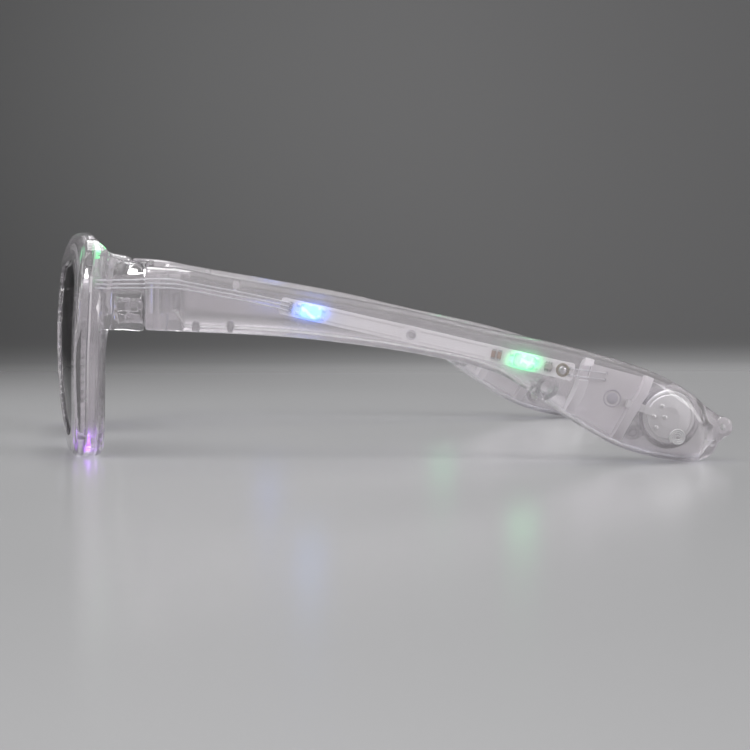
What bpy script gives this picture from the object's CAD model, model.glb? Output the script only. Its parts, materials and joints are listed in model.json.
"""Light up party glasses, dressed: clear moulded shells, tinted lenses, glowing lamps and their boards.

Shapes are worked out in the part's own millimetres, on the left side with its temple straight back:
depth counts from the front's most forward point. Objects are in metres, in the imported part's frame,
where the wearer looks along -Y and the wearer's left is +X.
"""
import json
import math
import bpy
import bmesh
import numpy as np
from mathutils import Matrix, Vector

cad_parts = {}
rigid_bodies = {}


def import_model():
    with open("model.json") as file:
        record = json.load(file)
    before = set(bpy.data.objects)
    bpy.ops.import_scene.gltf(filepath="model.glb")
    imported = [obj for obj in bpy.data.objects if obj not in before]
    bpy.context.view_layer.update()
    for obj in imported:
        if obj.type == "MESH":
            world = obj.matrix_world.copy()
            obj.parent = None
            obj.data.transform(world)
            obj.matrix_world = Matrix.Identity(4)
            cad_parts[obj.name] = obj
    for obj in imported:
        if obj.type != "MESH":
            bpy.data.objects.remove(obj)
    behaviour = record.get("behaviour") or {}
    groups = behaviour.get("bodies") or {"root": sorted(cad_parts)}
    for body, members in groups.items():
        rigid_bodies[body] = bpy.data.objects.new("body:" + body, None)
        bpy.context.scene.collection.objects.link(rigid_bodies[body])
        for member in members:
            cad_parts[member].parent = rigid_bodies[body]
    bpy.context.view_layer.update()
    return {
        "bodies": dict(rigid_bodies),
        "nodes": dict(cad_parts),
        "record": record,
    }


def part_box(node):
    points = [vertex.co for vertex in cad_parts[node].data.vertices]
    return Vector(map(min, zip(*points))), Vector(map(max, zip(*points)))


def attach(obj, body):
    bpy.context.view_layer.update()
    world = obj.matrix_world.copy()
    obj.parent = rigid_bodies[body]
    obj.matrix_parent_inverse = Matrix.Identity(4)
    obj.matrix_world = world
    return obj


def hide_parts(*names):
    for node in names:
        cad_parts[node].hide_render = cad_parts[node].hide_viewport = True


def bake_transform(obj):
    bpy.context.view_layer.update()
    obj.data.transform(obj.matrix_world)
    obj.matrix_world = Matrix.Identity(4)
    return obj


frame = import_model()
nodes = frame["nodes"]
scene = bpy.context.scene
MM = 0.001
SIDES = {"left": 1, "right": -1}

# The camera, fitted to the photograph's outlines
CAMERA_PLACE = Vector((0.720, -0.07294, 0.0548))
CAMERA_YAW = math.radians(5.98)
CAMERA_PITCH = math.radians(-3.07)
CAMERA_ROLL = math.radians(0.18)
CAMERA_LENS = 139.35      # mm on a 36 mm wide sensor

# The part's sizes, in millimetres
DEPTH_SHIFT = -76.4402985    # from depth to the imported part's Y
SPLIT = 20.3              # depth where the temples begin
LENGTH = 132.8            # of a temple
MIDDLE = 68.4             # across, to the temple's parting plane
THICK, TIP_THICK, EYELET_THICK = 8.0, 10.4, 3.4
END_TOP, END_BOTTOM = 44.2, 29.9    # heights of the temple's front end
WALL = 1.3
PIN = (62.6, 22.8)        # across and depth
SPLAY = math.radians(2.5)
LUGS = ((30.5, 33.5), (40.6, 43.6))
KNUCKLE = 2.9
CELL_RADIUS, CELL_THICK, CELL_GAP = 5.8, 3.05, 0.025
STRIP_WIDTH, STRIP_THICK = 4.0, 0.8
LEADS, LEAD_RADIUS, LEAD_PITCH = 3, 0.19, 0.9
LEAD_LEVEL = END_BOTTOM + (END_TOP - END_BOTTOM) * 0.72
LEAD_X = MIDDLE + 0.64
PARTING = 0.012           # half the gap between a temple's two shells
EYELET_RADIUS, EYELET_HEIGHT, EYELET_BORE, EYELET_ROUND = 2.35, 8.0, 1.3, 0.7

# Against a share of the temple's length: its edges as shares of the front end's heights, how far it
# has bulged towards the tip and thinned towards the eyelet, and the power that rounds its section
TOP_SHARES = [(0.000, 1.000), (0.049, 0.991), (0.130, 0.947), (0.292, 0.864), (0.427, 0.790), (0.564, 0.695),
              (0.701, 0.607), (0.803, 0.525), (0.873, 0.450), (0.925, 0.362), (0.959, 0.277), (0.977, 0.240)]
BOTTOM_SHARES = [(0.000, 1.000), (0.211, 0.957), (0.387, 0.873), (0.523, 0.766), (0.592, 0.680),
                 (0.647, 0.547), (0.702, 0.378), (0.757, 0.222), (0.798, 0.128), (0.857, 0.046),
                 (0.922, 0.001), (0.943, 0.012), (0.963, 0.048), (0.977, 0.150)]
BULGE_SHARES = [(0.0, 0.0), (0.50, 0.0), (0.80, 1.0), (0.977, 1.0)]
TAPER_SHARES = [(0.0, 0.0), (0.86, 0.0), (0.925, 0.22), (0.959, 0.58), (0.977, 1.0)]
POWERS = [(0.0, 4.5), (0.50, 3.8), (0.85, 2.9), (0.977, 2.5)]
HOLLOW_START, HOLLOW_FULL, HOLLOW_LAST, HOLLOW_END, HOLLOW_SCALE = 0.045, 0.065, 0.94, 0.963, 0.45

# Places in the temple: a share of its length, and a share of its height there
CELLS = (0.887, 0.535)
BUTTON = (0.7925, 0.535)
DOOR_SCREW = (0.8300, 0.22)
STRIP = ((0.228, 0.634), (0.7264, 0.665))
SUPPLY = (0.765, 0.83)

# Places on the lamp strip, as shares of its length
BLUE_AT, GREEN_AT, PEG_AT, RESISTOR_AT, CHIP_AT, BLOB_AT = 0.101, 0.829, 0.443, 0.734, 0.912, 0.962


# Shapes from formulas

def hermite(t, run, first, last, first_slope, last_slope):
    """Cubic between two values with their slopes, at a share t of the run between them."""
    start = (2 * t**3 - 3 * t**2 + 1) * first + (t**3 - 2 * t**2 + t) * run * first_slope
    return start + (3 * t**2 - 2 * t**3) * last + (t**3 - t**2) * run * last_slope


def smooth_table(table, share):
    """Monotone cubic through (share, value) pairs, held at both ends."""
    at, value = np.array(table, float).T
    share = np.clip(np.asarray(share, float), at[0], at[-1])
    slope = np.diff(value) / np.diff(at)
    before, after = slope[:-1], slope[1:]
    alike = before * after > 0
    both = np.where(alike, 2 * before * after / np.where(alike, before + after, 1), 0)
    tangent = np.concatenate([slope[:1], both, slope[-1:]])
    k = np.clip(np.searchsorted(at, share, side="right") - 1, 0, len(slope) - 1)
    run = at[k + 1] - at[k]
    return hermite((share - at[k]) / run, run, value[k], value[k + 1], tangent[k], tangent[k + 1])


def temple_top(share):
    """Height of the temple's upper edge."""
    return smooth_table(TOP_SHARES, share) * END_TOP


def temple_bottom(share):
    """Height of its lower edge."""
    return smooth_table(BOTTOM_SHARES, share) * END_BOTTOM


def half_thickness(share):
    """Half of its thickness, which bulges towards the tip and thins towards the eyelet."""
    full = THICK + (TIP_THICK - THICK) * smooth_table(BULGE_SHARES, share)
    return (full + (EYELET_THICK - full) * smooth_table(TAPER_SHARES, share)) / 2


def inside(shares):
    """Point on the parting plane from a share of the temple's length and a share of its height there."""
    low = temple_bottom(shares[0])
    return np.array([MIDDLE, SPLIT + shares[0] * LENGTH, low + (temple_top(shares[0]) - low) * shares[1]])


def way_between(first, last):
    """Unit way from one place to another in the temple's own plane, and the way square to it."""
    way = (last - first) * (0, 1, 1)
    way = way / np.linalg.norm(way)
    return way, np.array((0, -way[2], way[1]))


def wall_x(shares, inset=0.0):
    """X of the temple's inner face at a place on it, or that far inside it."""
    power = smooth_table(POWERS, shares[0])
    level = abs(2 * shares[1] - 1)
    return MIDDLE - (half_thickness(shares[0]) - inset) * (1 - level**power) ** (1 / power)


def loft(rings):
    """Closed skin over a stack of closed rings, a grid of rings x points x 3, with flat ends."""
    rings = np.asarray(rings, float)
    n, m = rings.shape[:2]
    index = np.arange(n * m).reshape(n, m)
    low, high = index[:-1], index[1:]
    quads = np.stack([low, np.roll(low, -1, 1), np.roll(high, -1, 1), high], 2).reshape(-1, 4).tolist()
    mesh = bpy.data.meshes.new("skin")
    mesh.from_pydata(rings.reshape(-1, 3).tolist(), [], quads + [index[0][::-1].tolist(), index[-1].tolist()])
    made = bmesh.new()
    made.from_mesh(mesh)
    bmesh.ops.recalc_face_normals(made, faces=made.faces)
    made.to_mesh(mesh)
    made.free()
    return mesh


def add(name, data, material=None):
    """A new object in the scene, with its material if it has one."""
    made = bpy.data.objects.new(name, data)
    scene.collection.objects.link(made)
    if material:
        data.materials.clear()
        data.materials.append(material)
    return made


def carve(mesh, tool, way="DIFFERENCE"):
    """The mesh with a tool's mesh taken off it, joined to it or kept in common."""
    whole, part = add("step", mesh), add("step", tool)
    step = whole.modifiers.new("step", "BOOLEAN")
    step.operation = way
    step.solver = "EXACT"
    step.object = part
    seen = whole.evaluated_get(bpy.context.evaluated_depsgraph_get())
    result = bpy.data.meshes.new_from_object(seen)
    for made in (whole, part):
        bpy.data.objects.remove(made)
    return result


def carve_all(mesh, tools):
    """The mesh with each tool's mesh taken off it in turn."""
    for tool in tools:
        mesh = carve(mesh, tool)
    return mesh


def temple_rings(shares, insets, scales=1.0, points=112):
    """Sections |x/a|^p + |z/b|^p = 1 of the temple at shares of its length, drawn in by insets."""
    share = np.asarray(shares, float)[:, None]
    inset = np.broadcast_to(np.asarray(insets, float), (len(shares),))[:, None]
    scale = np.broadcast_to(np.asarray(scales, float), (len(shares),))[:, None]
    turn = np.linspace(0, 2 * math.pi, points, endpoint=False)[None, :]
    c, s = np.cos(turn), np.sin(turn)
    power = smooth_table(POWERS, share)
    reach = (np.abs(c)**power + np.abs(s)**power) ** (-1 / power)
    top, bottom = temple_top(share), temple_bottom(share)
    x = MIDDLE + (half_thickness(share) - inset) * scale * reach * c
    z = (top + bottom) / 2 + ((top - bottom) / 2 - inset) * scale * reach * s
    return np.stack([x, np.broadcast_to(SPLIT + share * LENGTH, x.shape), z], 2)


def prism(points, low_x, high_x):
    """A flat outline of (depth, height) points carried across from one X to another."""
    outline = np.array([(0, p[0], p[1]) for p in points], float)
    return loft([outline + (low_x, 0, 0), outline + (high_x, 0, 0)])


def circle(middle, radius, points=48):
    """Points u = u0 + r cos t, v = v0 + r sin t of a circle in any flat plan."""
    turn = np.linspace(0, 2 * math.pi, points, endpoint=False)
    return [(middle[0] + radius * math.cos(t), middle[1] + radius * math.sin(t)) for t in turn]


def rod(middle, radius, low_x, high_x, points=48):
    """A circle about a place, carried across."""
    return prism(circle(middle[1:], radius, points), low_x, high_x)


def upright(plan, low, high):
    """A plan of (across, depth) points carried up from one height to another."""
    outline = np.array([(p[0], p[1], 0) for p in plan], float)
    return loft([outline + (0, 0, low), outline + (0, 0, high)])


def block_plan(low_x, low_y, high_x, high_y):
    """A rectangle's corners, seen from above."""
    return [(low_x, low_y), (high_x, low_y), (high_x, high_y), (low_x, high_y)]


def curve_through(points, count):
    """Hermite curve through points with tangents from their neighbours, and its unit way at each step."""
    p = np.array(points, float)
    at = np.concatenate([[0], np.cumsum(np.linalg.norm(np.diff(p, axis=0), axis=1))])
    slope = np.gradient(p, at, axis=0)
    t = np.linspace(0, at[-1], count)
    k = np.clip(np.searchsorted(at, t, side="right") - 1, 0, len(at) - 2)
    run = (at[k + 1] - at[k])[:, None]
    line = hermite((t - at[k])[:, None] / run, run, p[k], p[k + 1], slope[k], slope[k + 1])
    way = np.gradient(line, t, axis=0)
    return line, way / np.linalg.norm(way, axis=1)[:, None]


def tube(line, way, radius, beside=(1.0, 0.0, 0.0), sides=14):
    """Round wire along a line: p + r (a cos t + b sin t), with a and b square to its way and to each
    other, and a square to a direction beside it."""
    first = np.cross(way, beside)
    first /= np.linalg.norm(first, axis=1)[:, None]
    second = np.cross(way, first)
    turn = np.linspace(0, 2 * math.pi, sides, endpoint=False)[None, :, None]
    radius = np.broadcast_to(radius, (len(line),))[:, None, None]
    return loft(line[:, None] + radius * (first[:, None] * np.cos(turn) + second[:, None] * np.sin(turn)))


def ribbon(shares, width, low_x, high_x):
    """Plate on edge along a smooth line of places in the temple, of constant width, carried across."""
    line, way = curve_through([inside(s) for s in shares], 21)
    normal = np.stack([np.zeros(len(way)), -way[:, 2], way[:, 1]], 1) * width / 2
    outline = np.vstack([line + normal, (line - normal)[::-1]])
    return prism(outline[:, 1:], low_x, high_x)


class Spot:
    """A place with its own axes: along, beside, and out from the face it lies on."""

    def __init__(self, middle, along, out):
        self.middle = np.array(middle, float)
        self.along = np.array(along, float) / np.linalg.norm(along)
        self.out = np.array(out, float) / np.linalg.norm(out)
        self.beside = np.cross(self.out, self.along)

    def moved(self, along=0.0, beside=0.0, out=0.0):
        middle = self.middle + self.along * along + self.beside * beside + self.out * out
        return Spot(middle, self.along, self.out)

    def stack(self, length, width, corner, levels, points=48):
        """Outlines one over another, each a level (inset, height): a rectangle whose corners are
        quarter circles, u = sgn(cos t) (a - r) + (r - inset) cos t and v alike with sin t."""
        turn = (np.arange(points) + 0.5)[:, None] * 2 * math.pi / points
        c, s = np.cos(turn), np.sin(turn)
        rings = []
        for inset, height in levels:
            core, left = max(corner, inset), max(corner - inset, 0.0)
            u = np.sign(c) * max(length / 2 - core, 0.0) + left * c
            v = np.sign(s) * max(width / 2 - core, 0.0) + left * s
            rings.append(self.middle + self.along * u + self.beside * v + self.out * height)
        return loft(rings)

    def disc(self, radius, levels, points=48):
        """A stack of circles."""
        return self.stack(2 * radius, 2 * radius, radius, levels, points)

    def ring(self, radius, wire, points=40, sides=12):
        """Torus about the place, lying on its face: circles of the wire's radius round a circle."""
        turn = np.linspace(0, 2 * math.pi, points, endpoint=False)
        spoke = np.outer(np.cos(turn), self.along) + np.outer(np.sin(turn), self.beside)
        around = np.linspace(0, 2 * math.pi, sides, endpoint=False)[None, :, None]
        across = spoke[:, None] * np.cos(around) + self.out * np.sin(around)
        grid = self.middle + radius * spoke[:, None] + wire * across
        index = np.arange(points * sides).reshape(points, sides)
        after = np.roll(index, -1, 0)
        quads = np.stack([index, after, np.roll(after, -1, 1), np.roll(index, -1, 1)], 2).reshape(-1, 4)
        mesh = bpy.data.meshes.new("ring")
        mesh.from_pydata(grid.reshape(-1, 3).tolist(), [], quads.tolist())
        return mesh


def slab(thick, edge):
    """Levels of a flat piece whose upper edge is rounded over by a quarter circle."""
    turn = np.linspace(0, math.pi / 2, 5)
    return [(0.0, 0.0)] + [(edge * (1 - math.cos(t)), thick - edge + edge * math.sin(t)) for t in turn]


def dome(half, tall, low=0.0):
    """Levels of a dome: an ellipse's quarter over an outline of that half width, cut flat at the top."""
    turn = np.linspace(0, math.pi / 2 * 0.97, 9)
    return [(half * (1 - math.cos(t)), low + tall * math.sin(t)) for t in turn]


# Materials

class Value:
    """A node's output; Python's arithmetic on it adds Math nodes."""

    def __init__(self, finish, socket):
        self.finish = finish
        self.socket = socket

    def math(self, operation, *values):
        return self.finish.node("ShaderNodeMath", {"operation": operation}, dict(enumerate(values)))

    def __add__(self, other):
        return self.math("ADD", self, other)

    def __rsub__(self, other):
        return self.math("SUBTRACT", other, self)

    def __mul__(self, other):
        return self.math("MULTIPLY", self, other)

    def __abs__(self):
        return self.math("ABSOLUTE", self)

    __radd__ = __add__
    __rmul__ = __mul__

    def between(self, low, high):
        """0 below low, 1 above high, and a smooth ramp between them."""
        names = {"Value": self, "From Min": low, "From Max": high}
        settings = {"interpolation_type": "SMOOTHSTEP"}
        return self.finish.node("ShaderNodeMapRange", settings, names)


class Finish:
    """One material: a Principled shader with fixed sockets, and the nodes that vary the others."""

    def __init__(self, name, **fixed):
        self.material = bpy.data.materials.new(name)
        self.material.use_nodes = True
        self.tree = self.material.node_tree
        self.shader = self.tree.nodes["Principled BSDF"]
        self.output = self.tree.nodes["Material Output"]
        for key, value in fixed.items():
            self.set(key.replace("_", " ").title().replace("Ior", "IOR"), value)

    def feed(self, socket, value):
        """Links a value into a socket, or sets the socket's own."""
        if isinstance(value, Value):
            self.tree.links.new(value.socket, socket)
        else:
            socket.default_value = value

    def set(self, key, value):
        self.feed(self.shader.inputs[key], value)
        return self

    def node(self, kind, settings=None, inputs=None, output=0):
        """A node of any kind: its settings first, then the values or links of its sockets."""
        made = self.tree.nodes.new(kind)
        for key, value in (settings or {}).items():
            setattr(made, key, value)
        for key, value in (inputs or {}).items():
            self.feed(made.inputs[key], value)
        return Value(self, made.outputs[output])

    def vector(self, operation, first, second, output=0):
        return self.node("ShaderNodeVectorMath", {"operation": operation}, {0: first, 1: second}, output)

    def place(self):
        return self.node("ShaderNodeTexCoord", output="Object")

    def noise(self, size, detail=3, rough=0.55, stretch=(1, 1, 1)):
        """Noise with features of that size in metres, about 0.5 on average."""
        place = self.vector("MULTIPLY", self.place(), stretch)
        inputs = {"Vector": place, "Scale": 1 / size, "Detail": detail, "Roughness": rough}
        return self.node("ShaderNodeTexNoise", {}, inputs)

    def mix(self, factor, first, second):
        inputs = {0: factor, 6: first, 7: second}
        return self.node("ShaderNodeMix", {"data_type": "RGBA"}, inputs, 2)

    def near(self, middle, reach):
        """1 at a place, falling smoothly to 0 over a reach along each axis; the same on both sides."""
        parted = self.node("ShaderNodeSeparateXYZ", {}, {0: self.place()}).socket.node
        x, y, z = (Value(self, output) for output in parted.outputs)
        both = self.node("ShaderNodeCombineXYZ", {}, {0: abs(x), 1: y, 2: z})
        away = self.vector("SUBTRACT", both, tuple(middle))
        away = self.vector("MULTIPLY", away, tuple(1 / r for r in reach))
        return 1 - self.vector("LENGTH", away, (0, 0, 0), "Value").between(0.0, 1.0)

    def along(self, way, low, high):
        """0 to 1 between two distances from the origin along a unit way."""
        return self.vector("DOT_PRODUCT", self.place(), way, "Value").between(low, high)

    def glow(self, lights, strength, edge=1.0):
        """Emission in the colours of lamps close by, (place, reach, colour) each; low edges are sharp."""
        colour = (0, 0, 0, 1)
        for middle, reach, light in lights:
            colour = self.mix(self.near(middle, reach).between(0.0, edge), colour, light)
        self.set("Emission Color", colour)
        return self.set("Emission Strength", strength)

    def bump(self, height, distance):
        inputs = {"Height": height, "Distance": distance, "Strength": 1.0}
        self.set("Normal", self.node("ShaderNodeBump", {}, inputs))

    def pass_shadows(self, tint):
        """Lets lamps' rays through a clear shader, tinted, so that what it holds is lit."""
        ray = self.node("ShaderNodeLightPath", output="Is Shadow Ray")
        clear = self.node("ShaderNodeBsdfTransparent", {}, {"Color": tint})
        both = self.node("ShaderNodeMixShader", {}, {0: ray, 2: clear})
        self.tree.links.new(self.shader.outputs[0], both.socket.node.inputs[1])
        self.tree.links.new(both.socket, self.output.inputs["Surface"])
        return self


def grey(level, lilac=0.0):
    """A neutral colour, turned towards a warm lilac by a share."""
    return (level, level * (1 - 0.03 * lilac), level * (1 - 0.01 * lilac), 1)


def opened(points):
    """Points of a straight temple, in millimetres, turned by the splay about the hinge pin."""
    points = np.array(points, float)
    x, y = points[..., 0] - PIN[0], points[..., 1] - PIN[1]
    c, s = math.cos(SPLAY), math.sin(SPLAY)
    points[..., 0] = PIN[0] + x * c + y * s
    points[..., 1] = PIN[1] - x * s + y * c
    return points


def on_part(point):
    """A place in the modelled temple as metres in the part's frame."""
    return Vector(opened(point) + (0, DEPTH_SHIFT, 0)) * MM


def middle_of(node):
    """Middle of a CAD node's box, in metres."""
    low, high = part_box(node)
    return (low + high) / 2


BLUE, GREEN, PURPLE = (0.04, 0.20, 1.0, 1), (0.03, 0.85, 0.25, 1), (0.42, 0.06, 1.0, 1)
STRIP_START, STRIP_END = inside(STRIP[0]), inside(STRIP[1])
STRIP_WAY, STRIP_NORMAL = way_between(STRIP_START, STRIP_END)
SUPPLY_END = inside(SUPPLY)
CORNER_REACH, LOWER_REACH = 2.2, 3.2      # of the rim lamps' light, in millimetres


def on_strip(share):
    """Place on the lamp strip's outer face, at a share of its length."""
    middle = STRIP_START + (STRIP_END - STRIP_START) * share
    return Spot((MIDDLE + STRIP_THICK / 2, *middle[1:]), STRIP_WAY, (1, 0, 0))


# In metres: the lamps' middles, how far a temple lamp's light reaches across, and the size of the
# bright middle of each lamp
BLUE_PLACE, GREEN_PLACE = (on_part(on_strip(at).middle) for at in (BLUE_AT, GREEN_AT))
CORNER_PLACE, LOWER_PLACE = middle_of("left_corner_lamp"), middle_of("left_lower_lamp")
ACROSS = 0.012
BLUE_CORE, GREEN_CORE, RIM_CORE = (ACROSS, 0.0040, 0.0028), (ACROSS, 0.0036, 0.0026), (0.002,) * 3


def temple_lights(along, high):
    """The two lamps of a temple with how far their light spreads on something, in millimetres."""
    reach = (ACROSS, along * MM, high * MM)
    return [(BLUE_PLACE, reach, BLUE), (GREEN_PLACE, reach, GREEN)]


def front_lights(spread=1.0):
    """The two lamps in a rim with how far their light spreads."""
    corner, lower = ((reach * spread * MM,) * 3 for reach in (CORNER_REACH, LOWER_REACH))
    return [(CORNER_PLACE, corner, GREEN), (LOWER_PLACE, lower, PURPLE)]


def clear_plastic(name, stretch, lights, strength, milky=0.0, frost=0.0):
    """Moulded clear plastic: flow lines along the part, a faint haze, light scuffs and some frost."""
    finish = Finish(name, transmission_weight=0.95 - milky, ior=1.49)
    flow = finish.noise(0.004, 2, 0.4, stretch)
    cloud = finish.noise(0.018, 2, 0.5)
    scuff = finish.noise(0.0011, 4, 0.6, stretch).between(0.60, 0.78)
    finish.set("Base Color", finish.mix(cloud, grey(0.89, 1.2), grey(0.96, 0.5)))
    finish.set("Roughness", 0.02 + frost + 0.03 * flow + 0.08 * scuff)
    finish.bump(flow, 0.00006)
    finish.glow(lights, strength)
    return finish.pass_shadows((0.90, 0.90, 0.92, 1)).material


def smoke_lens(name):
    """Tinted sheet; its low index keeps the glancing mirror image faint, as in the photo."""
    finish = Finish(name, transmission_weight=0.96, ior=1.05)
    cloud = finish.noise(0.03, 2, 0.5)
    finish.set("Base Color", finish.mix(cloud, grey(0.10, 1), grey(0.125, 1)))
    finish.set("Roughness", 0.02 + 0.03 * finish.noise(0.002, 3, 0.5))
    return finish.pass_shadows((0.35, 0.35, 0.37, 1)).material


def board(name, level, lilac, lights, strength, edge=1.0):
    """Lacquered board: faintly cloudy, half matt, lit by the lamps on it."""
    finish = Finish(name, ior=1.45)
    cloud = finish.noise(0.006, 3, 0.5)
    finish.set("Base Color", finish.mix(cloud, grey(level * 0.93, lilac), grey(level, lilac)))
    finish.set("Roughness", 0.35 + 0.2 * cloud)
    finish.bump(finish.noise(0.0006, 2, 0.5), 0.00001)
    return finish.glow(lights, strength, edge).material


def steel(name, level, rough):
    """Metal brushed in one direction."""
    finish = Finish(name, metallic=1.0)
    brushed = finish.noise(0.0008, 3, 0.5, (1, 1, 12))
    finish.set("Base Color", finish.mix(brushed, grey(level * 0.9), grey(level)))
    finish.set("Roughness", rough + 0.15 * brushed)
    return finish.material


def lamp(name, glow, core, where, reach, strength):
    """A lit lamp: its own colour at the rim, paler inside, and near white where a die shines through."""
    finish = Finish(name, roughness=0.3, emission_strength=strength)
    inner = finish.near(where, reach).between(0.0, 0.45)
    dies = finish.noise(0.0013, 1, 0.3).between(0.52, 0.66) * inner
    finish.set("Base Color", finish.mix(finish.noise(0.001, 2, 0.5), glow, core))
    finish.set("Emission Color", finish.mix(dies, finish.mix(inner, glow, core), (0.88, 1.0, 0.95, 1)))
    return finish.material


def dull(name, colour, rough=0.4):
    """Plain plastic, lacquer or enamel with a fine grain."""
    finish = Finish(name)
    grain = finish.noise(0.0005, 2, 0.5)
    darker = tuple(0.75 * c for c in colour[:3]) + (1,)
    finish.set("Base Color", finish.mix(grain, darker, colour))
    finish.set("Roughness", rough + 0.2 * grain)
    return finish.material


CORE = {"blue": (0.42, 0.80, 1.0, 1), "green": (0.50, 1.0, 0.54, 1), "purple": (0.66, 0.38, 1.0, 1)}
# How each finish is made, and the values that its function takes after the name
RECIPES = {
    "front_plastic": (clear_plastic, (1, 1, 0.4), front_lights(), 0.6, 0.06),
    "temple_plastic": (clear_plastic, (1, 0.12, 1), temple_lights(7.5, 4.0), 0.30, 0.08),
    "front_inner": (clear_plastic, (1, 1, 0.4), front_lights(), 0.4, 0.12, 0.12),
    "temple_inner": (clear_plastic, (1, 0.12, 1), temple_lights(7.5, 4.0), 0.30, 0.14, 0.10),
    "rib_plastic": (clear_plastic, (1, 1, 1), temple_lights(7.5, 4.0), 0.30, 0.42, 0.35),
    "smoke_lens": (smoke_lens,),
    "strip_board": (board, 0.92, 0.5, temple_lights(6.0, 4.2), 1.15, 0.5),
    "front_board": (board, 0.80, 0.6, front_lights(1.6), 1.0),
    "panel_board": (board, 0.66, 1.2, [], 0.0),
    "lamp_body": (board, 0.85, 0.5, temple_lights(5.2, 4.0), 1.1, 0.5),
    "blue_lamp": (lamp, BLUE, CORE["blue"], BLUE_PLACE, BLUE_CORE, 1.12),
    "green_lamp": (lamp, GREEN, CORE["green"], GREEN_PLACE, GREEN_CORE, 1.12),
    "corner_lamp": (lamp, GREEN, CORE["green"], CORNER_PLACE, RIM_CORE, 1.2),
    "purple_lamp": (lamp, PURPLE, CORE["purple"], LOWER_PLACE, RIM_CORE, 1.5),
    "resistor": (dull, (0.38, 0.25, 0.20, 1)),
    "chip": (dull, (0.44, 0.41, 0.39, 1)),
    "coil": (dull, (0.33, 0.28, 0.18, 1), 0.25),
    "switch_plastic": (dull, (0.05, 0.05, 0.055, 1)),
    "button_plastic": (dull, (0.50, 0.50, 0.53, 1)),
    "track": (dull, (0.80, 0.78, 0.79, 1)),
    "trace": (dull, (0.52, 0.50, 0.55, 1), 0.3),
    "lead_sleeve": (dull, (0.80, 0.80, 0.84, 1), 0.15),
    "cell_steel": (steel, 1.0, 0.42),
    "contact_metal": (steel, 0.95, 0.20),
    "solder": (steel, 0.80, 0.18),
    "screw_steel": (steel, 0.75, 0.3),
}
FINISHES = {name: make(name, *values) for name, (make, *values) in RECIPES.items()}
# Materials of CAD nodes whose slot isn't named like one, by the node's name without its side
NODE_FINISH = {
    "front_shell": "front_plastic", "rear_shell": "front_inner", "battery_door": "temple_plastic",
    "front_strip": "front_board", "control_board": "panel_board", "positive_contact": "cell_steel",
    "corner_lamp": "corner_lamp", "lower_lamp": "purple_lamp"}


# Setting pieces in place

SLOTS = {entry["node"]: entry["material_slot"] for entry in frame["record"]["subparts"]}
BODIES = {empty.name: name for name, empty in frame["bodies"].items()}
MERGE = 2e-6              # metres between points that become one
FLAT = math.radians(1)    # faces that turn less are one face
CAD_EDGE, SHELL_EDGE, DETAIL_EDGE = math.radians(30), math.radians(32), math.radians(35)


def dress(made, body, slot, finish, replaced):
    """A finished object on its body, with its slot, its material and the nodes that it stands for."""
    obj = add(made.name, made, FINISHES[finish])
    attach(obj, body)
    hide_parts(*replaced)
    return obj


def points_of(mesh):
    """A mesh's points as a grid of points x 3."""
    spots = np.empty(len(mesh.vertices) * 3)
    mesh.vertices.foreach_get("co", spots)
    return spots.reshape(-1, 3)


def set_on(mesh, side, spots):
    """Gives a mesh its points: modelled millimetres become metres in the part's frame, on that side."""
    placed = (spots * (SIDES[side], 1, 1) + (0, DEPTH_SHIFT, 0)) * MM
    mesh.vertices.foreach_set("co", placed.ravel())
    if SIDES[side] < 0:
        mesh.flip_normals()
    mesh.shade_smooth()


def piece(name, mesh, side, slot, finish, replaced, body="temple", edge=DETAIL_EDGE):
    """Sets a mesh of the straight left temple on its side as a finished object."""
    made = mesh.copy()
    made.name = side + "_" + name
    set_on(made, side, opened(points_of(made)))
    made.set_sharp_from_angle(angle=edge)
    return dress(made, side + "_" + body, slot, finish, [side + "_" + replaced])


def body_of(node):
    """The body that a CAD node hangs from."""
    above = nodes[node].parent
    while above.name not in BODIES:
        above = above.parent
    return BODIES[above.name]


def smoothed(node):
    """A CAD node's own mesh, merged, with smooth faces between its sharp edges."""
    made = nodes[node].data.copy()
    made.name = node + "_smooth"
    work = bmesh.new()
    work.from_mesh(made)
    bmesh.ops.remove_doubles(work, verts=work.verts, dist=MERGE)
    bmesh.ops.dissolve_limit(work, angle_limit=FLAT, verts=work.verts, edges=work.edges)
    work.to_mesh(made)
    work.free()
    made.shade_smooth()
    made.set_sharp_from_angle(angle=CAD_EDGE)
    first, rest = node.split("_", 1)
    finish = NODE_FINISH.get(rest if first in SIDES else node, SLOTS[node])
    obj = dress(made, body_of(node), SLOTS[node], finish, [node])
    weighted = obj.modifiers.new("normals", "WEIGHTED_NORMAL")
    weighted.keep_sharp = True
    weighted.mode = "FACE_AREA_WITH_ANGLE"


# The temple's shells

LOW_X, HIGH_X = MIDDLE - 8, MIDDLE + 8      # past the temple's faces
OVERRUN = 1.0
FINE = 96                 # points round the cells and their chamber
CHAMBER_INNER, CHAMBER_OUTER = CELL_RADIUS + 0.25, CELL_RADIUS + 1.15
RIB_THICK, RIB_GAP = 2.0, 0.02
FRONT_RIB = [(0.7520, 0.90), (0.7370, 0.50), (0.7150, 0.05)]
REAR_RIB = [(0.8570, 0.97), (0.8430, 0.72), (0.8200, 0.42), (0.7950, 0.05)]
POSTS = ((0.152, 0.86), (0.143, 0.16), (0.085, 0.12))
SMALL_POSTS = ((0.655, 0.165), (0.665, 0.02))
POST_RADIUS, SMALL_POST_RADIUS, SCREW_POST_RADIUS = 0.9, 0.7, 1.5
BOSS, BOSS_OUTER, BOSS_INNER = (0.679, 0.27), 2.5, 1.4
EDGE_ROUND, EDGE_SHARE = 0.5, 0.004         # the front edge is rounded over by that much
TIP_ROUND, TIP_SHARE, TIP_CLOSE_SHARE = 1.5, 0.977, 0.008
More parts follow.
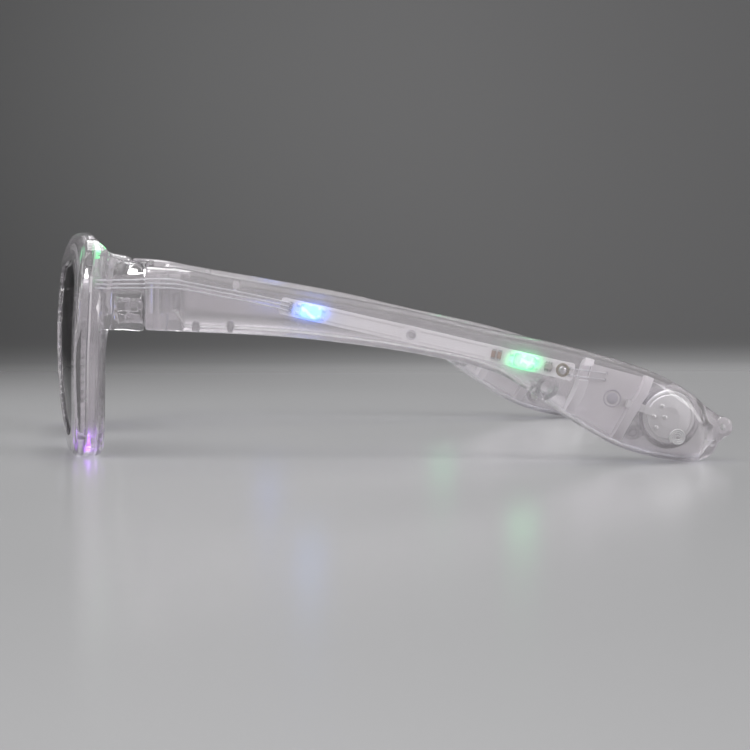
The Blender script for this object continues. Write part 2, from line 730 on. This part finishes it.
LEG_HALF, LEG_LENGTH, LEG_THICK = 0.95, 10.05, 0.4
DOOR_RADIUS, EAR_RADIUS = 6.57, 2.22        # the battery door's disc and the ear round its screw
DOOR_PLAY, DOOR_START = 0.05, 16            # how far from the parting plane its tools begin
SCREW_HEAD, SCREW_HOLE, SCREW_SINK, SCREW_SEAT, SCREW_LENGTH = 1.25, 0.65, 0.3, 0.65, 3.45
BUTTON_HOLE = 2.1
CELL_POCKET, CELL_PLAY = 3.125, 0.125
HINGE_PLAY, LUG_PLAY, PIN_HOLE = 0.35, 0.25, 0.85
WEB_INSET, WEB_LENGTH, WEB_FOOT = 2.7, 5.2, 2.3     # of the web that carries the knuckle
PASSAGE_HALF, PASSAGE_START = (1.7, 2.1), 9         # the leads' way in, across and up
FAR_OUT, FAR_FRONT, FAR_BACK, FAR_UP = 20, -20, 200, 80     # a block past a temple on every side


def merged(meshes):
    """Several meshes in one, for tools that don't overlap."""
    work = bmesh.new()
    for mesh in meshes:
        work.from_mesh(mesh)
    whole = bpy.data.meshes.new("tools")
    work.to_mesh(whole)
    work.free()
    return whole


def ramp(share, low, high):
    """0 below low, 1 above high, and 3t^2 - 2t^3 between them."""
    t = np.clip((share - low) / (high - low), 0, 1)
    return t * t * (3 - 2 * t)


def post(middle, radius, points=48):
    """A rod from one face of the temple to the other."""
    return rod(middle, radius, LOW_X, HIGH_X, points)


def bore(middle, radius, points=48):
    """A hole's tool, right through the temple."""
    return rod(middle, radius, LOW_X - OVERRUN, HIGH_X + OVERRUN, points)


def bar(first, last, above, below, low_x, high_x):
    """Straight bar between two places, carried across; its edges lie above and below their line."""
    corners = [first + above, first + below, last + below, last + above]
    return prism([corner[1:] for corner in corners], low_x, high_x)


def temple_skin():
    """The closed outer form, its front edge rounded over, its tip closed round the eyelet."""
    turn = np.linspace(0, math.pi / 2, 6)
    closing = turn[1:-1]
    front, cap = EDGE_SHARE * (1 - np.cos(turn)), TIP_SHARE + TIP_CLOSE_SHARE * np.sin(closing)
    shares = np.concatenate([front, np.linspace(0.012, 0.93, 124), np.linspace(0.934, TIP_SHARE, 22), cap])
    insets = np.zeros(len(shares))
    insets[:len(turn)] = EDGE_ROUND * (1 - np.sin(turn))
    insets[-len(closing):] = TIP_ROUND * (1 - np.cos(closing))
    body = loft(temple_rings(shares, insets))
    eye = Spot((MIDDLE, SPLIT + LENGTH - EYELET_RADIUS, EYELET_HEIGHT), (0, 1, 0), (1, 0, 0))
    half, over = EYELET_THICK / 2, EYELET_ROUND
    levels = [(over * (1 - math.sin(t)), -half + over * (1 - math.cos(t))) for t in turn]
    levels += [(inset, -height) for inset, height in levels[::-1]]
    body = carve(body, eye.disc(EYELET_RADIUS, levels), "UNION")
    return carve(body, bore(eye.middle, EYELET_BORE / 2))


def temple_room(inset):
    """The temple's inside: its sections drawn in by an inset, and narrowed smoothly at both ends."""
    shares = np.concatenate([np.linspace(HOLLOW_START, HOLLOW_FULL, 9), np.linspace(0.072, 0.93, 118),
                             np.linspace(HOLLOW_LAST, HOLLOW_END, 9)])
    ends = ramp(shares, HOLLOW_START, HOLLOW_FULL) * ramp(HOLLOW_END - shares, 0, HOLLOW_END - HOLLOW_LAST)
    return loft(temple_rings(shares, inset, HOLLOW_SCALE + (1 - HOLLOW_SCALE) * ends))


def temple_ribs():
    """The two slanted ribs that hold the control board: plates on edge, cut to the temple's inside."""
    room = temple_room(WALL + RIB_GAP)
    front = carve(ribbon(FRONT_RIB, RIB_THICK, LOW_X, HIGH_X), lead_room())
    tools = (bore(inside(CELLS), CHAMBER_OUTER + RIB_GAP, FINE),
             bore(inside(DOOR_SCREW), SCREW_POST_RADIUS + RIB_GAP), leg_room())
    rear = carve_all(ribbon(REAR_RIB, RIB_THICK, LOW_X, HIGH_X), tools)
    return carve(room, front, "INTERSECT"), carve(room, rear, "INTERSECT")


def temple_hollow():
    """The room inside, with the posts, the boss and the cells' chamber left standing in it."""
    chamber, boss_place = inside(CELLS), inside(BOSS)
    posts = [post(inside(place), POST_RADIUS) for place in POSTS]
    posts += [post(inside(place), SMALL_POST_RADIUS) for place in SMALL_POSTS]
    posts.append(post(on_strip(PEG_AT).middle, SMALL_POST_RADIUS))
    posts.append(rod(inside(DOOR_SCREW), SCREW_POST_RADIUS, LOW_X, MIDDLE))
    boss = carve(post(boss_place, BOSS_OUTER), bore(boss_place, BOSS_INNER))
    ring = carve(post(chamber, CHAMBER_OUTER, FINE), bore(chamber, CHAMBER_INNER, FINE))
    return carve_all(temple_room(WALL), (merged(posts), boss, carve(ring, leg_room())))


def leg_room():
    """Slot for the flat leg from the outer cell to the control board."""
    chamber = inside(CELLS)
    way, square = way_between(inside(BUTTON), chamber)
    low = MIDDLE + CELL_THICK + CELL_GAP
    half = square * LEG_HALF
    return bar(chamber, chamber - way * LEG_LENGTH, half, -half, low, low + LEG_THICK)


def lead_room():
    """Room for the supply wires over the front rib."""
    first, last = STRIP_END - STRIP_WAY * 2.5, SUPPLY_END + STRIP_WAY * 5.0
    return bar(first, last, STRIP_NORMAL * 1.25, -STRIP_NORMAL * 2.0, MIDDLE - 1, MIDDLE + 4)


def door_room():
    """Tools for the battery door's seat, its ear and screw, the chamber and the button's hole."""
    chamber, screw = inside(CELLS), inside(DOOR_SCREW)
    far = MIDDLE - DOOR_START
    door_x = wall_x(CELLS, WALL) + DOOR_PLAY
    face = wall_x(DOOR_SCREW) + SCREW_SINK
    ear = way_between(chamber, screw)[1] * EAR_RADIUS
    return [rod(chamber, DOOR_RADIUS, far, door_x, FINE), bar(chamber, screw, ear, -ear, far, door_x),
            rod(screw, EAR_RADIUS, far, door_x), rod(screw, SCREW_HEAD, far, face + SCREW_SEAT),
            rod(screw, SCREW_HOLE, far, face + SCREW_LENGTH), rod(inside(BUTTON), BUTTON_HOLE, far, MIDDLE),
            rod(chamber, CHAMBER_INNER, door_x - 0.5, MIDDLE + OVERRUN, FINE)]


def lug_room():
    """Room for the end block's two lugs: a half circle round the pin, open towards the front."""
    x, y = PIN
    radius = KNUCKLE + HINGE_PLAY
    far, ahead = x - 30, -10
    turn = np.linspace(math.pi, 0, 21)[:, None]
    curve = np.hstack([x + radius * np.cos(turn), y + radius * np.sin(turn)]).tolist()
    plan = [(far, y)] + curve + [(x + radius, ahead), (far, ahead)]
    return [upright(plan, low - LUG_PLAY, top + LUG_PLAY) for low, top in LUGS]


def with_knuckle(inner):
    """The inner shell with its knuckle between the lugs, the web that carries it and the pin's hole."""
    low, top = LUGS[0][1] + LUG_PLAY, LUGS[1][0] - LUG_PLAY
    x, y = PIN
    web_x, web_y = MIDDLE - WEB_INSET, y + WEB_LENGTH
    web = [(x, y), (web_x, y), (web_x, web_y), (x + WEB_FOOT, web_y), (x, y + KNUCKLE)]
    inner = carve(inner, upright(web, low, top), "UNION")
    inner = carve(inner, upright(circle(PIN, KNUCKLE, 40), low, top), "UNION")
    return carve(inner, upright(circle(PIN, PIN_HOLE, 40), 0, FAR_UP))


def half_of(whole, sign):
    """What lies on one side of the temple's parting plane: 1 is the outer side, -1 the inner."""
    near, far = sorted((MIDDLE + sign * PARTING, MIDDLE + sign * FAR_OUT))
    block = upright(block_plan(near, FAR_FRONT, far, FAR_BACK), -FAR_OUT, FAR_UP)
    return carve(whole, block, "INTERSECT")


def temple_shells():
    """The two shells of a temple, parted on its upright middle plane."""
    whole = carve(temple_skin(), temple_hollow())
    outer, inner = half_of(whole, 1), half_of(whole, -1)
    pocket = rod(inside(CELLS), CELL_RADIUS + CELL_PLAY, MIDDLE - OVERRUN, MIDDLE + CELL_POCKET, FINE)
    outer = carve(outer, pocket)
    inner = with_knuckle(carve_all(inner, door_room() + lug_room()))
    wide, tall = PASSAGE_HALF
    last = SPLIT + LENGTH * HOLLOW_FULL + WALL
    plan = block_plan(LEAD_X - wide, SPLIT - PASSAGE_START, LEAD_X + wide, last)
    way_in = upright(plan, LEAD_LEVEL - tall, LEAD_LEVEL + tall)
    return carve(outer, way_in), carve(inner, way_in)


# What the temple holds; flat parts are given by length, width and corner radius

BOTH = (-1, 1)
TRACKS = ((0.16, 0.415), (0.47, 0.70))      # shares of the strip's length
HOUSING, WINDOW, LAMP_JOINT = (5.0, 3.2, 0.5), (4.9, 3.1, 0.7), (1.1, 0.9, 0.2)
LAMP_JOINTS = ((-2.85, -0.95), (-2.85, 0.95), (2.85, -0.95), (2.85, 0.95))
RESISTOR, RESISTOR_END = (0.9, 1.6, 0.08), (0.94, 0.42, 0.06)
CHIP, CHIP_LEG = (1.9, 1.3, 0.08), (0.26, 0.5, 0.08)
COIL_RADII, COIL_WIRE = (1.15, 1.42), 0.11
LEAD_JOINT, SUPPLY_JOINT = (1.3, 0.8, 0.38), (0.8, 0.6, 0.3)
LEAD_END, LEAD_BEFORE = 2.2, 2.5            # from the strip's start: its joint, and where it nears it
SUPPLY_RADIUS, SUPPLY_HALF, SUPPLY_OUT = 0.11, 0.75, 0.75   # half their pitch, and out from the plane
SPRING_PLACE, SPRING_TURNS, SPRING_WIRE = (MIDDLE + 3.34, 140.0, 5.9), 3.6, 0.19
SPRING_START, SPRING_GROWTH, SPRING_RISE = 0.30, 1.55, 0.25
STUDS = ((137.1, 10.4), (134.6, 10.6), (135.2, 8.1), (136.5, 12.9))


def coin_cell(low_x):
    """Can with a rolled edge, the seal's groove and a raised cap: a circle drawn in level by level."""
    levels = [(0.55, 0.0), (0.20, 0.05), (0.05, 0.18), (0.0, 0.35), (0.0, 2.20), (0.07, 2.35), (0.20, 2.44),
              (0.62, 2.47), (0.66, 2.36), (0.86, 2.36), (0.90, 2.90), (0.97, 3.0), (1.10, CELL_THICK)]
    return Spot((low_x, *inside(CELLS)[1:]), (0, 1, 0), (1, 0, 0)).disc(CELL_RADIUS, levels, FINE)


def spring():
    """Flat spiral spring on the outer cell: its radius grows evenly with the turn."""
    turn = np.linspace(0, SPRING_TURNS * 2 * math.pi, 150)
    radius = SPRING_START + SPRING_GROWTH * turn / turn[-1]
    rise = SPRING_RISE * turn / turn[-1]
    line = np.array(SPRING_PLACE) + np.stack([rise, radius * np.cos(turn), radius * np.sin(turn)], 1)
    way = np.gradient(line, axis=0)
    way /= np.linalg.norm(way, axis=1)[:, None]
    return tube(line, way, SPRING_WIRE, sides=10)


def button():
    """Push button, a circle drawn in level by level: stem, flange, rounded cap with a shallow dish."""
    turn = np.linspace(0, math.pi / 2, 6)
    levels = [(1.75, -3.15), (1.75, -2.0), (0.04, -2.0), (0.0, -1.96), (0.0, -1.54), (0.04, -1.5),
              (0.6, -1.5)]
    levels += [(0.6 + 0.3 * (1 - math.cos(t)), 0.5 + 0.3 * math.sin(t)) for t in turn]
    levels += [(1.25, 0.77), (1.6, 0.69), (2.0, 0.64), (2.4, 0.62)]
    spot = Spot((wall_x(BUTTON), *inside(BUTTON)[1:]), (0, 1, 0), (-1, 0, 0))
    return spot.disc(2.5, levels, 64)


def lead_line(index):
    """Points of one hinge lead, from the lamps in the rim over the hinge to the temple's strip."""
    shift = (index - 1) * LEAD_PITCH
    high = LEAD_LEVEL + shift
    start = STRIP_START + (STRIP_THICK / 2 + LEAD_RADIUS + 0.03, 0, 0) + STRIP_NORMAL * shift
    behind, before = np.array((LEAD_X, 25.3, high)), start - STRIP_WAY * LEAD_BEFORE
    between = behind * 0.45 + before * 0.55 + (0, 0, 0.25)
    in_front = [(66.3, 9.0, high), (67.9, 10.1, high), (LEAD_X, 13.0, high), (LEAD_X, 17.8, high)]
    return in_front + [opened(point) for point in (behind, between, before, start + STRIP_WAY * LEAD_END)]


def supply_line(sign):
    """Short wire from the strip's end to the control board, bowed outwards."""
    out = np.array((SUPPLY_OUT, 0, 0))
    first = STRIP_END - STRIP_WAY * 0.9 + STRIP_NORMAL * SUPPLY_HALF * sign + out
    last = SUPPLY_END + STRIP_WAY * 2.5 + STRIP_NORMAL * (SUPPLY_HALF * sign - 1.5) + out
    return [first, (first + last) / 2 + out * 0.7, last]


def strip_base():
    """The lamp board with its hole for the peg, the ring round it and the printed tracks."""
    length = np.linalg.norm(STRIP_END - STRIP_START)
    under = Spot((MIDDLE - STRIP_THICK / 2, *((STRIP_START + STRIP_END) / 2)[1:]), STRIP_WAY, (1, 0, 0))
    levels = [(0.05, 0.0), (0.0, 0.05), (0.0, 0.75), (0.05, STRIP_THICK)]
    plate = under.stack(length, STRIP_WIDTH, 0.6, levels)
    peg = on_strip(PEG_AT)
    plate = carve(plate, rod(peg.middle, SMALL_POST_RADIUS + 0.1, MIDDLE - 2, MIDDLE + 2))
    yield "strip_base", plate, "white_board", "strip_board", "temple_strip"
    yield "peg_ring", peg.moved(out=0.02).ring(1.05, 0.09), "contact_metal", "trace", "temple_strip"
    for sign, row in zip(BOTH, ("low", "up")):
        for k, (low, high) in enumerate(TRACKS):
            track = on_strip((low + high) / 2).moved(beside=1.25 * sign)
            mesh = track.stack((high - low) * length, 0.28, 0.14, [(0, 0), (0, 0.03), (0.03, 0.05)])
            yield f"track_{k}_{row}", mesh, "white_board", "track", "temple_strip"


def strip_lamps():
    """Each lamp: a square housing, a domed window over it and four soldered joints."""
    for name, at, node in (("blue", BLUE_AT, "front_lamp"), ("green", GREEN_AT, "rear_lamp")):
        spot = on_strip(at)
        yield name + "_housing", spot.stack(*HOUSING, slab(0.85, 0.15)), "white_board", "lamp_body", node
        window, lit = spot.stack(*WINDOW, dome(1.55, 0.62, 0.86)), name + "_lamp"
        yield name + "_window", window, lit, lit, node
        for k, place in enumerate(LAMP_JOINTS):
            joint = spot.moved(*place).stack(*LAMP_JOINT, dome(0.45, 0.45))
            yield f"{name}_joint_{k}", joint, "contact_metal", "lamp_body", node


def strip_parts():
    """Two resistors with their end caps, the chip with its legs, the blob and the coil round it."""
    slot, node = "board_parts", "strip_parts"
    for k, shift in enumerate((-0.7, 0.7)):
        spot = on_strip(RESISTOR_AT).moved(along=shift)
        yield f"resistor_{k}", spot.stack(*RESISTOR, slab(0.5, 0.06)), slot, "resistor", node
        for sign, end in zip(BOTH, "ab"):
            cap = spot.moved(beside=sign * 0.98).stack(*RESISTOR_END, slab(0.52, 0.06))
            yield f"resistor_{k}_end_{end}", cap, slot, "solder", node
    chip = on_strip(CHIP_AT)
    yield "chip", chip.stack(*CHIP, slab(0.8, 0.12)), slot, "chip", node
    for k in range(6):
        foot = chip.moved((k % 3 - 1) * 0.62, 0.88 if k < 3 else -0.88).stack(*CHIP_LEG, slab(0.3, 0.08))
        yield f"chip_leg_{k}", foot, slot, "solder", node
    blob = on_strip(BLOB_AT)
    yield "blob", blob.disc(0.95, dome(0.95, 0.5)), slot, "solder", node
    for k, radius in enumerate(COIL_RADII):
        yield f"coil_{k}", blob.moved(out=0.08).ring(radius, COIL_WIRE), slot, "coil", node


def soldered_wires():
    """The joints of the three hinge leads, and the two supply wires with a joint at each end."""
    for k in range(LEADS):
        joint = on_strip(0).moved(LEAD_END, (k - 1) * LEAD_PITCH).stack(*LEAD_JOINT, dome(0.4, 0.5))
        yield f"front_joint_{k}", joint, "contact_metal", "solder", "temple_strip"
    for k, sign in enumerate(BOTH):
        line, way = curve_through(supply_line(sign), 30)
        yield f"supply_wire_{k}", tube(line, way, SUPPLY_RADIUS), "lead_sleeve", "lead_sleeve", "supply_leads"
        for end, name in ((0, "strip"), (-1, "panel")):
            spot = Spot((MIDDLE + 0.45, *line[end][1:]), STRIP_WAY, (1, 0, 0))
            joint = spot.stack(*SUPPLY_JOINT, dome(0.3, 0.4))
            yield f"supply_joint_{k}_{name}", joint, "contact_metal", "solder", "supply_leads"


def panel_and_cells():
    """The control board's ring and pad, both cells, and the spring and studs of the contact on them."""
    panel = Spot((MIDDLE + 0.5, *inside(BUTTON)[1:]), STRIP_WAY, (1, 0, 0))
    yield "panel_ring", panel.moved(out=0.03).ring(1.9, 0.12), "contact_metal", "trace", "control_board"
    pad = panel.disc(1.3, [(0, 0), (0, 0.05), (0.05, 0.08)])
    yield "panel_pad", pad, "contact_metal", "trace", "control_board"
    yield "inner_can", coin_cell(MIDDLE - CELL_THICK - CELL_GAP), "cell_steel", "cell_steel", "inner_cell"
    yield "outer_can", coin_cell(MIDDLE + CELL_GAP), "cell_steel", "cell_steel", "outer_cell"
    yield "spring", spring(), "contact_metal", "cell_steel", "positive_contact"
    for k, place in enumerate(STUDS):
        stud = Spot((MIDDLE + 3.36, *place), (0, 1, 0), (1, 0, 0)).disc(0.55, dome(0.55, 0.3))
        yield f"stud_{k}", stud, "contact_metal", "contact_metal", "positive_contact"


def dress_temples():
    """Everything that exists once on each side; the meshes are made once and set on both."""
    (outer, inner), (front_rib, rear_rib) = temple_shells(), temple_ribs()
    shells = (("outer_skin", outer, "temple_plastic", "outer_shell"),
              ("inner_skin", inner, "temple_inner", "inner_shell"),
              ("front_rib", front_rib, "rib_plastic", "inner_shell"),
              ("rear_rib", rear_rib, "rib_plastic", "inner_shell"))
    details = [*strip_base(), *strip_lamps(), *strip_parts(), *soldered_wires(), *panel_and_cells()]
    press = button()
    for side in SIDES:
        for name, mesh, finish, replaced in shells:
            piece(name, mesh, side, "clear_plastic", finish, replaced, edge=SHELL_EDGE)
        for name, mesh, slot, finish, replaced in details:
            piece(name, mesh, side, slot, finish, replaced)
        piece("press", press, side, "button_plastic", "button_plastic", "power_button", "button")
        for node in ("control_board", "tact_switch", "switch_plunger", "positive_contact", "negative_contact",
                     "battery_door", "door_screw", "hinge_pin", "lens", "front_strip"):
            smoothed(side + "_" + node)
        for index in range(LEADS):
            dress_lead(side, index)
        for node in ("corner_lamp", "lower_lamp"):
            smoothed(side + "_" + node)


# Where a hinge lead begins and ends to bend: metres across and up, and depths in millimetres
BEND_X, BEND_HEIGHT, BEND_DEPTHS = 0.069, 0.040, (17.5, 26.5)


def dress_lead(side, index):
    """A hinge lead: it bends between the front and the temple."""
    line, way = curve_through(lead_line(index), 110)
    mesh = tube(line, way, LEAD_RADIUS, (0.0, 0.0, 1.0))
    set_on(mesh, side, points_of(mesh))
    mesh.name = f"{side}_lead_{index}"
    obj = add(mesh.name, mesh, FINISHES["lead_sleeve"])
    x = SIDES[side] * BEND_X
    start, end = ((x, (y + DEPTH_SHIFT) * MM, BEND_HEIGHT) for y in BEND_DEPTHS)
    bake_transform(obj)
    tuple(start)
    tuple(end)
    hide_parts(side + "_hinge_leads")


# The stage

TARGET = Vector((0, 0, 0.03))


def camera():
    """The photograph's viewpoint, from its place and three turns."""
    level = math.cos(CAMERA_PITCH)
    ahead = Vector((-math.cos(CAMERA_YAW) * level, math.sin(CAMERA_YAW) * level, math.sin(CAMERA_PITCH)))
    right = Vector((math.sin(CAMERA_YAW), math.cos(CAMERA_YAW), 0))
    above = right.cross(ahead)
    right, above = (right * math.cos(CAMERA_ROLL) + above * math.sin(CAMERA_ROLL),
                    above * math.cos(CAMERA_ROLL) - right * math.sin(CAMERA_ROLL))
    data = bpy.data.cameras.new("camera")
    data.lens = CAMERA_LENS
    data.sensor_width = 36
    data.clip_start = 0.01
    made = add("camera", data)
    turn = Matrix((right, above, -ahead)).transposed().to_4x4()
    made.matrix_world = Matrix.Translation(CAMERA_PLACE) @ turn
    scene.camera = made


def area_light(name, place, size, power):
    """A rectangular lamp that looks at the middle of the glasses."""
    data = bpy.data.lights.new(name, "AREA")
    data.shape = "RECTANGLE"
    data.size, data.size_y = size
    data.energy = power
    made = add(name, data)
    made.location = place
    made.rotation_euler = (TARGET - Vector(place)).to_track_quat("-Z", "Y").to_euler()


def floor():
    """Pale table that curves up into a backdrop by a quarter circle: a profile carried along Y."""
    reach, bend, tall, far = 0.32, 0.35, 1.6, 9.0
    turns = np.linspace(0, math.pi / 2, 17)
    curve = np.stack([-reach - bend * np.sin(turns), bend * (1 - np.cos(turns))], 1)
    profile = np.vstack([[(far, 0.0)], curve, [(-reach - bend, tall)]])
    points = np.array([(x, y, z) for y in (-far, far) for x, z in profile])
    n = len(profile)
    faces = [(i, i + 1, i + 1 + n, i + n) for i in range(n - 1)]
    mesh = bpy.data.meshes.new("floor")
    mesh.from_pydata(points.tolist(), [], faces)
    mesh.shade_smooth()
    finish = Finish("pale_floor", ior=1.4)
    cloud = finish.noise(0.3, 2, 0.5)
    pale = finish.mix(cloud, (0.58, 0.58, 0.59, 1), (0.61, 0.61, 0.62, 1))
    rise = finish.along((-1, 0, 0), reach - 0.03, reach + 0.08)
    left = finish.along((0, -1, 0), -0.12, 0.22)
    away = finish.along((-1, 0, 0), 0.12, 0.42)
    colour = finish.mix(rise, pale, (0.12, 0.12, 0.122, 1))
    finish.set("Base Color", finish.mix(left * away, colour, (0.035, 0.035, 0.036, 1)))
    finish.set("Roughness", 0.17 + 0.06 * cloud + 0.4 * rise)
    made = add("floor", mesh, finish.material)


def world():
    """Dim, even, barely warm light from all around."""
    made = bpy.data.worlds.new("studio")
    made.use_nodes = True
    back = made.node_tree.nodes["Background"]
    back.inputs["Color"].default_value = (1.0, 0.985, 0.98, 1)
    back.inputs["Strength"].default_value = 0.22
    scene.world = made


dress_temples()
for shell in ("front_shell", "rear_shell"):
    smoothed(shell)
camera()
floor()
world()
area_light("softbox", (0.6, -0.5, 1.0), (0.7, 0.7), 6)
area_light("side_strip", (0.9, 0.8, 0.5), (0.2, 0.9), 3)
area_light("top_strip", (-0.4, 0.0, 0.9), (0.25, 1.2), 6.5)
area_light("front_fill", (0.1, -1.1, 0.35), (0.9, 0.6), 2)
scene.view_settings.view_transform = "Standard"
scene.cycles.max_bounces = scene.cycles.transmission_bounces = 20
scene.cycles.transparent_max_bounces = 24
scene.cycles.caustics_reflective = False
